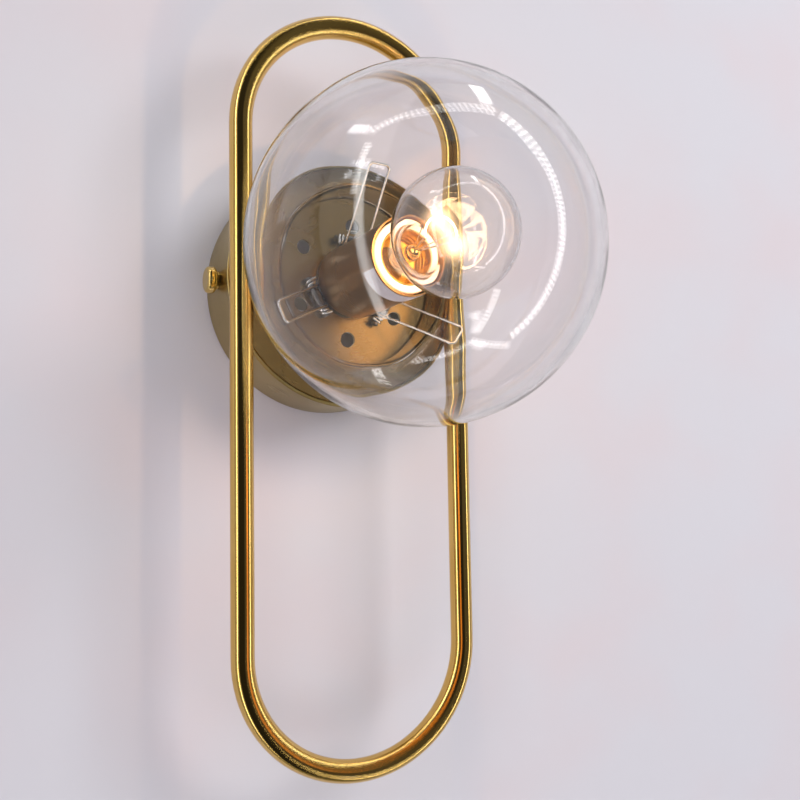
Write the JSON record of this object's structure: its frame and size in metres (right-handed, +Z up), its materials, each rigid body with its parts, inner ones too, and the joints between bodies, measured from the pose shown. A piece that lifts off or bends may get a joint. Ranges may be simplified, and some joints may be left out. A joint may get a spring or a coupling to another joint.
{
  "type": "globe wall sconce",
  "caption": "Wall sconce: a brass oval loop on a round canopy, a clear glass globe held from inside by sprung wire clips, and a porcelain lampholder with a round filament bulb.",
  "frame": {"origin": "on the wall plane at the canopy's axis, midway between the bracket's two wall slots", "axes": "+Z up the wall, -Y out of the wall to the front of the globe, +X to the right as seen from the front"},
  "size_m": [0.16, 0.204, 0.392],
  "materials": {
    "satin_brass": "satin, lacquered",
    "polished_brass": "polished, lacquered",
    "warm_brass": "polished, lacquered",
    "raw_brass": "bright, uncoated",
    "zinc_steel": "zinc plated",
    "spring_steel": "drawn wire",
    "nickel": "nickel plated",
    "globe_glass": "clear, blown",
    "bulb_glass": "clear, thin",
    "stem_glass": "clear, pressed",
    "black_glass": "dark fused glass",
    "porcelain": "glazed white",
    "label_strip": "thin matt strip",
    "filament": "glowing wire",
    "block_nylon": "moulded",
    "foam_pad": "foam, adhesive both sides",
    "lead_brown": "sleeved wire",
    "lead_blue": "sleeved wire",
    "lead_green_yellow": "striped sleeved wire"
  },
  "bodies": {
    "bracket": {"wall_bracket": "zinc_steel", "bracket_earth_screw": "raw_brass"},
    "thumb_screw_left": {"thumb_screw_left": "polished_brass"},
    "thumb_screw_right": {"thumb_screw_right": "polished_brass"},
    "globe": {"glass_globe": "globe_glass"},
    "clip_top": {"spring_clip_top": "spring_steel"},
    "clip_left": {"spring_clip_left": "spring_steel"},
    "clip_right": {"spring_clip_right": "spring_steel"},
    "bulb": {"bulb_glass": "bulb_glass", "bulb_cap": "nickel", "bulb_insulator": "black_glass", "bulb_contact": "nickel", "bulb_stem": "stem_glass", "bulb_lead_wires": "nickel", "filament_supports": "nickel", "bulb_filament": "filament"},
    "canopy": {"canopy_shell": "satin_brass", "front_plate": "satin_brass", "loop_tube": "polished_brass", "loop_inserts": "raw_brass", "loop_screws": "zinc_steel", "clip_carrier": "zinc_steel", "clip_pins": "nickel", "lampholder_sleeve": "warm_brass", "sleeve_label": "label_strip", "holder_nipple": "raw_brass", "nipple_washer": "zinc_steel", "earth_tag": "raw_brass", "nipple_back_nut": "raw_brass", "nipple_front_nut": "raw_brass", "holder_strap": "zinc_steel", "lampholder_porcelain": "porcelain", "holder_screws": "zinc_steel", "screw_shell": "raw_brass", "centre_contact": "raw_brass", "contact_rivets": "raw_brass", "holder_terminals": "raw_brass", "holder_terminal_screws": "zinc_steel", "terminal_block": "block_nylon", "block_screws": "zinc_steel", "block_tubes": "raw_brass", "block_pad": "foam_pad", "live_lead": "lead_brown", "neutral_lead": "lead_blue", "earth_lead": "lead_green_yellow"}
  },
  "joints": [
    {"name": "thumb_screw_left_turn", "type": "hinge", "parent": "bracket", "child": "thumb_screw_left", "pos_m": [-0.065, -0.021, 0], "axis": [-1, 0, 0], "range_deg": [0, 1080]},
    {"name": "thumb_screw_right_turn", "type": "hinge", "parent": "bracket", "child": "thumb_screw_right", "pos_m": [0.065, -0.021, 0], "axis": [1, 0, 0], "range_deg": [0, 1080]},
    {"name": "canopy_lift", "type": "slide", "parent": "bracket", "child": "canopy", "axis": [0, -1, 0], "range_m": [0, 0.03]},
    {"name": "globe_pull", "type": "slide", "parent": "canopy", "child": "globe", "axis": [0, -1, 0], "range_m": [0, 0.035]},
    {"name": "bulb_turn", "type": "hinge", "parent": "canopy", "child": "bulb", "pos_m": [0, -0.09, 0], "axis": [0, -1, 0], "range_deg": [0, 1440]},
    {"name": "clip_top_fold", "type": "hinge", "parent": "canopy", "child": "clip_top", "pos_m": [0.00153, -0.0416, 0.02195], "axis": [0.9976, 0, -0.0698], "range_deg": [0, 46], "stiffness_Nm_per_rad": 0.02, "springref_deg": -28.65},
    {"name": "clip_left_fold", "type": "hinge", "parent": "canopy", "child": "clip_left", "pos_m": [-0.01977, -0.0416, -0.00964], "axis": [-0.4384, 0, 0.8988], "range_deg": [0, 46], "stiffness_Nm_per_rad": 0.02, "springref_deg": -28.65},
    {"name": "clip_right_fold", "type": "hinge", "parent": "canopy", "child": "clip_right", "pos_m": [0.01824, -0.0416, -0.0123], "axis": [-0.5592, 0, -0.829], "range_deg": [0, 46], "stiffness_Nm_per_rad": 0.02, "springref_deg": -28.65}
  ],
  "couplings": [
    {"joint": "clip_top_fold", "follows": "globe_pull", "rad_per_m": 22.689},
    {"joint": "clip_left_fold", "follows": "globe_pull", "rad_per_m": 22.689},
    {"joint": "clip_right_fold", "follows": "globe_pull", "rad_per_m": 22.689}
  ]
}
